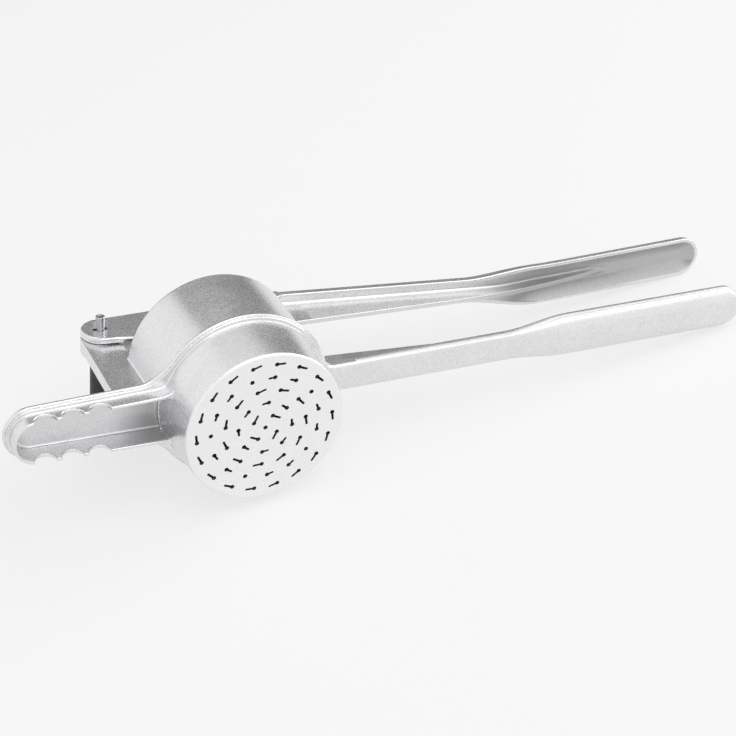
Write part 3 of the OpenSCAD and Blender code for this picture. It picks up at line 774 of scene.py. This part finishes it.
def sieve_tree(held):
    """Geometry nodes for the perforated plate, from its face at nought to its back"""
    group = bpy.data.node_groups.new("Perforated sieve", "GeometryNodeTree")
    group.interface.new_socket("Geometry", in_out="OUTPUT", socket_type="NodeSocketGeometry")
    names = {"Radius": 0.0411, "Thickness": held.thick, "Ring Pitch": held.pitch,
             "Head": held.head, "Slot Width": held.slot, "Long Reach": held.long_reach,
             "Short Reach": held.short_reach}
    for name, value in names.items():
        socket = group.interface.new_socket(name, in_out="INPUT", socket_type="NodeSocketFloat")
        socket.subtype, socket.default_value = "DISTANCE", value
    group.interface.new_socket("Material", in_out="INPUT", socket_type="NodeSocketMaterial")
    tree = Tree(group)
    entry = group.nodes.new("NodeGroupInput")
    value = {name: Link(tree, entry.outputs[name]) for name in (*names, "Material")}
    spin = tree.node("GeometryNodeInputNamedAttribute", {"data_type": "FLOAT"}, {"Name": "spin"})
    turned = tree.node("ShaderNodeCombineXYZ", {}, [0.0, 0.0, spin])
    shapes = [keyhole(tree, value["Head"], value["Slot Width"], value[reach])
              for reach in ("Long Reach", "Short Reach")]
    plain = tree.node("GeometryNodeCurvePrimitiveCircle", {}, {
        "Resolution": 20, "Radius": value["Head"] / 2})
    rim = tree.node("GeometryNodeCurvePrimitiveCircle", {}, {
        "Resolution": 200, "Radius": value["Radius"]})
    sets = [(ring, shapes[data[3]], False) for ring, data in enumerate(RINGS)] + [(3, plain, True)]
    outlines = [tree.node("GeometryNodeInstanceOnPoints", {}, {
        "Points": ring_points(tree, ring, value["Ring Pitch"], is_plain),
        "Instance": shape, "Rotation": turned})
        for ring, shape, is_plain in sets]
    joined = tree.node("GeometryNodeJoinGeometry", {}, {"Geometry": [plain, rim, *outlines]})
    real = tree.node("GeometryNodeRealizeInstances", {}, {"Geometry": joined})
    face = tree.node("GeometryNodeFillCurve", {}, {"Curve": real})
    sides = tree.node("GeometryNodeExtrudeMesh", {}, {
        "Mesh": face, "Offset Scale": value["Thickness"], "Individual": False})
    front = tree.node("GeometryNodeFlipFaces", {}, {"Mesh": face})
    plate = tree.node("GeometryNodeJoinGeometry", {}, {"Geometry": [front, sides]})
    closed = tree.node("GeometryNodeMergeByDistance", {}, {"Geometry": plate, "Distance": 0.000002})
    whole = tree.node("GeometryNodeRealizeInstances", {}, {"Geometry": closed})
    painted = tree.node("GeometryNodeSetMaterial", {}, {
        "Geometry": whole, "Material": value["Material"]})
    tree.node("NodeGroupOutput", {}, [painted])
    return group


# ---- operators ----

def rest_painted_shade(x, y, z):
    """Share of painted shade in the rest arm's channel, more so towards the pot"""
    pot, arms, rho = sizes("maker_pot"), sizes("maker_arms"), np.hypot(x, z)
    inside = (x < 0) & (np.abs(y - 29.2) < 6.4) & (barrel(rho, y, pot) > 0.3)
    inside = inside & (rest_arm(x, y, z, rho, pot, arms)[2] < 0.3)
    return inside * (0.2 + 0.8 * ease(x, -72, -48))


def dimple_painted_shade(x, y, z):
    """Share of painted shade in the dimple in the pin's end"""
    return DIMPLE_PAINTED_SHADE * ((z > 14.1) & (np.hypot(x - HINGE[0], y - HINGE[1]) < 1.45))


class MAKER_OT_pot(bpy.types.Operator):
    """Builds the pot casting with its rest arm and hinge bracket, and the handle"""
    bl_idname = "maker.pot"
    bl_label = "Pot Casting"

    def execute(self, context):
        metal, arms = material("tumbled_casting", cast_metal), sizes("maker_arms")
        pot = solid("pot_casting", pot_field, (-128, -3, -50), (SEAM + 2, 116, 50), 0.5,
                    end=SEAM, hollow=rest_painted_shade)
        finish(pot, "pot", "cast_aluminium", metal, "pot_wall", "rest_arm", "hinge_bracket")
        grip = loft("handle_grip", lambda x: handle_section(x, arms), SEAM, arms.handle_end,
                    arms.grip, flip=False)
        finish(grip, "pot", "cast_aluminium", metal, "handle")
        return {"FINISHED"}


class MAKER_OT_sieve(bpy.types.Operator):
    """Builds the perforated sieve in the pot's end"""
    bl_idname = "maker.sieve"
    bl_label = "Sieve"

    def execute(self, context):
        metal = material("tumbled_casting", cast_metal)
        held = context.scene.maker_sieve
        group = sieve_tree(held)
        carrier = link("sieve_carrier", bpy.data.meshes.new("sieve_carrier"))
        modifier = carrier.modifiers.new("Perforations", "NODES")
        modifier.node_group = group
        for item in group.interface.items_tree:
            if item.in_out == "INPUT" and item.name == "Material":
                modifier[item.identifier] = metal
        bevel = carrier.modifiers.new("Rounding", "BEVEL")
        bevel.width, bevel.segments, bevel.limit_method = held.rim, 2, "ANGLE"
        bevel.angle_limit, bevel.harden_normals = math.radians(50), True
        shaped = carrier.evaluated_get(context.evaluated_depsgraph_get())
        mesh = bpy.data.meshes.new_from_object(shaped)
        bpy.data.objects.remove(carrier)
        points = np.empty(len(mesh.vertices) * 3)
        mesh.vertices.foreach_get("co", points)
        across, up, deep = points.reshape(-1, 3).T * 1000
        mesh.vertices.foreach_set("co", to_frame(np.stack([across, deep - 0.02, -up], 1)).ravel())
        mesh.update()
        # Painted shade on everything behind the sieve's face: the holes' walls and its back
        store_painted_shade(mesh, HOLE_PAINTED_SHADE * (deep > 0.25))
        sieve = link("sieve_plate", mesh)
        finish(sieve, "pot", "cast_aluminium", metal, "sieve")
        return {"FINISHED"}


class MAKER_OT_lever(bpy.types.Operator):
    """Builds the lever casting: the fork and the arm with its grip"""
    bl_idname = "maker.lever"
    bl_label = "Lever Casting"

    def execute(self, context):
        metal, arms = material("tumbled_casting", cast_metal), sizes("maker_arms")
        fork = solid("lever_fork_casting", fork_field, (-66, 58, -10), (SEAM + 2, 119, 10), 0.4,
                     end=SEAM)
        finish(fork, "lever", "cast_aluminium", metal, "lever_fork")
        grip = loft("lever_grip", lambda x: lever_section(x, arms), SEAM, arms.lever_end,
                    arms.grip, flip=True)
        finish(grip, "lever", "cast_aluminium", metal, "lever_arm")
        return {"FINISHED"}


class MAKER_OT_plunger(bpy.types.Operator):
    """Builds the plunger's plate and stem"""
    bl_idname = "maker.plunger"
    bl_label = "Plunger"

    def execute(self, context):
        metal = material("tumbled_casting", cast_metal)
        # The whole plate gets painted shade
        plate = solid("plunger_disc", plate_field, (-40, 3, -40), (40, 10, 40), 0.7,
                      hollow=DISC_PAINTED_SHADE)
        finish(plate, "plunger", "cast_aluminium", metal, "plunger_plate")
        stem = solid("plunger_blade", stem_field, (-17, 7, -12), (17, 77, 12), 0.6)
        finish(stem, "plunger", "cast_aluminium", metal, "plunger_stem")
        return {"FINISHED"}


class MAKER_OT_pins(bpy.types.Operator):
    """Builds the hinge pin and its knob, and finishes the small steel parts"""
    bl_idname = "maker.pins"
    bl_label = "Pins and Knob"

    def execute(self, context):
        steel, plastic = material("turned_steel", pin_steel), material("moulded_knob", knob_plastic)
        pin = solid("hinge_pin_turned", pin_field, (-57, 101, -29), (-46.5, 110, 16), 0.2,
                    hollow=dimple_painted_shade)
        finish(pin, "pin", "pin_steel", steel, "hinge_pin")
        knob = solid("knob", knob_field, (-58.5, 99, -38), (-45, 112, -6.5), 0.35)
        finish(knob, "pin", "knob_plastic", plastic, "pin_knob")
        for node in ("cross_pin", "cross_pin_washer", "plunger_screw"):
            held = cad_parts[node]
            for piece in held if isinstance(held, list) else [held]:
                piece.data.materials.clear()
                piece.data.materials.append(steel)
        return {"FINISHED"}


class MAKER_OT_stage(bpy.types.Operator):
    """Sets the floor, the studio's light and the camera"""
    bl_idname = "maker.stage"
    bl_label = "Stage"

    def execute(self, context):
        scene = context.scene
        set_world(scene)
        floor = sheet_mesh("floor", [(-6, -6, 0), (6, -6, 0), (6, 6, 0), (-6, 6, 0)])
        paint_floor(floor, scene.maker_colours.floor)
        for name, corners in CARDS.items():
            card = sheet_mesh(name, corners)
            paint_card(card)
            card.visible_camera = False
        for lamp in LAMPS:
            add_lamp(*lamp)
        place_camera(scene)
        scene.view_settings.view_transform = "Standard"
        return {"FINISHED"}


CARDS = {
    "grey_card": [(-0.5, 1.2, 0.05), (3.5, 1.2, 0.05), (3.5, 1.2, 1.15), (-0.4, 1.2, 1.15)],
}
# Each lamp: its name, place, target, width and height, and power in watts
LAMPS = (
    ("key", (0.3, -0.8, 2.1), (0.0, 0.0, 0.03), (2.2, 2.2), 16.0),
    ("side", (1.6, 0.3, 0.7), (0.0, 0.0, 0.03), (0.8, 1.2), 9.0),
)


def sheet_mesh(name, corners):
    mesh = bpy.data.meshes.new(name)
    mesh.from_pydata(corners, [], [(0, 1, 2, 3)])
    return link(name, mesh)


def ray(tree, name):
    """1 for rays of one kind"""
    return Link(tree, tree.tree.nodes.new("ShaderNodeLightPath").outputs[name])


def seen(tree):
    """1 for rays that show the background: camera, glossy and transmission rays"""
    reflected = ray(tree, "Is Glossy Ray") + ray(tree, "Is Transmission Ray")
    return (ray(tree, "Is Camera Ray") + reflected).clamp()


def set_world(scene):
    """White world: full strength where it is seen, and less as light"""
    world = bpy.data.worlds.new("studio")
    world.use_nodes = True
    world.node_tree.nodes.clear()
    tree = Tree(world.node_tree)
    strength = seen(tree) * 0.35 + 0.65
    shader = tree.node("ShaderNodeBackground", {}, {"Color": (1, 1, 1, 1), "Strength": strength})
    tree.node("ShaderNodeOutputWorld", {}, {"Surface": shader})
    scene.world = world


def paint_floor(floor, shade):
    """Pale floor that camera and reflections see nearly white, with the object's shadow"""
    made, tree = new_material("floor_paint")
    place = tree.node("ShaderNodeTexCoord", out=3)
    base = tint(tree, noise(tree, place, 3.0), tuple(c * 0.99 for c in shade), tuple(shade))
    matt = tree.node("ShaderNodeBsdfDiffuse", {}, {"Color": base})
    white = tree.node("ShaderNodeEmission", {}, {"Color": (1, 1, 1, 1), "Strength": 1.0})
    both = tree.node("ShaderNodeMixShader", {}, [seen(tree) * 0.65, matt, white])
    tree.node("ShaderNodeOutputMaterial", {}, {"Surface": both})
    floor.data.materials.append(made)


def paint_card(card):
    """Plain grey card that the shaded sides of the metal reflect"""
    made, tree = new_material("card_paint")
    place = tree.node("ShaderNodeTexCoord", out=3)
    base = tint(tree, noise(tree, place, 5.0), (0.2, 0.2, 0.2), (0.22, 0.22, 0.22))
    matt = tree.node("ShaderNodeBsdfDiffuse", {}, {"Color": base})
    tree.node("ShaderNodeOutputMaterial", {}, {"Surface": matt})
    card.data.materials.append(made)


def add_lamp(name, place, target, size, power):
    data = bpy.data.lights.new(name, "AREA")
    data.shape, data.size, data.size_y, data.energy = "RECTANGLE", size[0], size[1], power
    lamp = bpy.data.objects.new(name, data)
    lamp.location = place
    lamp.rotation_euler = (Vector(target) - Vector(place)).to_track_quat("-Z", "Y").to_euler()
    bpy.context.scene.collection.objects.link(lamp)


def place_camera(scene):
    """The camera fitted to the view: its direction, roll and distance from a point on the tool"""
    azimuth, elevation, roll, reach = -0.475008, 0.549579, 0.0848844, 1009.765
    level = math.cos(elevation)
    back = np.array([math.sin(azimuth) * level, -math.cos(azimuth) * level, math.sin(elevation)])
    right = np.cross(-back, (0, 0, 1))
    right /= np.linalg.norm(right)
    up = np.cross(right, -back)
    across = right * math.cos(roll) + up * math.sin(roll)
    upward = up * math.cos(roll) - right * math.sin(roll)
    place = to_frame((np.array([54.603, 0, 24.692]) + back * reach)[None])[0]
    turn = TURN @ np.stack([across, upward, back], 1)
    data = bpy.data.cameras.new("camera")
    focal, frame_width, sensor = 2000.0, 736, 36
    data.sensor_fit, data.sensor_width = "HORIZONTAL", 36.0
    data.lens = focal / frame_width * sensor
    data.clip_start, data.clip_end = 0.05, 50
    camera = bpy.data.objects.new("camera", data)
    camera.matrix_world = Matrix.Translation(place) @ Matrix(turn.tolist()).to_4x4()
    scene.collection.objects.link(camera)
    scene.camera = camera


class MAKER_PT_panel(bpy.types.Panel):
    """Lists the maker's pieces and sizes"""
    bl_idname = "MAKER_PT_panel"
    bl_label = "Spaetzle Maker"
    bl_space_type = "VIEW_3D"
    bl_region_type = "UI"
    bl_category = "Spaetzle Maker"

    def draw(self, context):
        for operator in OPERATORS:
            self.layout.operator(operator.bl_idname)
        for title, group in GROUPS.items():
            box = self.layout.box()
            box.label(text=title.replace("maker_", "").title())
            held = getattr(context.scene, title)
            for name in type(held).__annotations__:
                box.prop(held, name)


GROUPS = {"maker_pot": PotSizes, "maker_sieve": SieveSizes, "maker_arms": ArmSizes,
          "maker_colours": FinishColours}
OPERATORS = (MAKER_OT_pot, MAKER_OT_sieve, MAKER_OT_lever, MAKER_OT_plunger, MAKER_OT_pins,
             MAKER_OT_stage)


def register():
    for group in (*GROUPS.values(), *OPERATORS, MAKER_PT_panel):
        bpy.utils.register_class(group)
    for name, group in GROUPS.items():
        setattr(bpy.types.Scene, name, PointerProperty(type=group))


def unregister():
    for name in GROUPS:
        delattr(bpy.types.Scene, name)
    for group in reversed((*GROUPS.values(), *OPERATORS, MAKER_PT_panel)):
        bpy.utils.unregister_class(group)


def main():
    register()
    bpy.ops.maker.pot()
    bpy.ops.maker.sieve()
    bpy.ops.maker.lever()
    bpy.ops.maker.plunger()
    bpy.ops.maker.pins()
    bpy.ops.maker.stage()


if __name__ == "__main__":
    main()
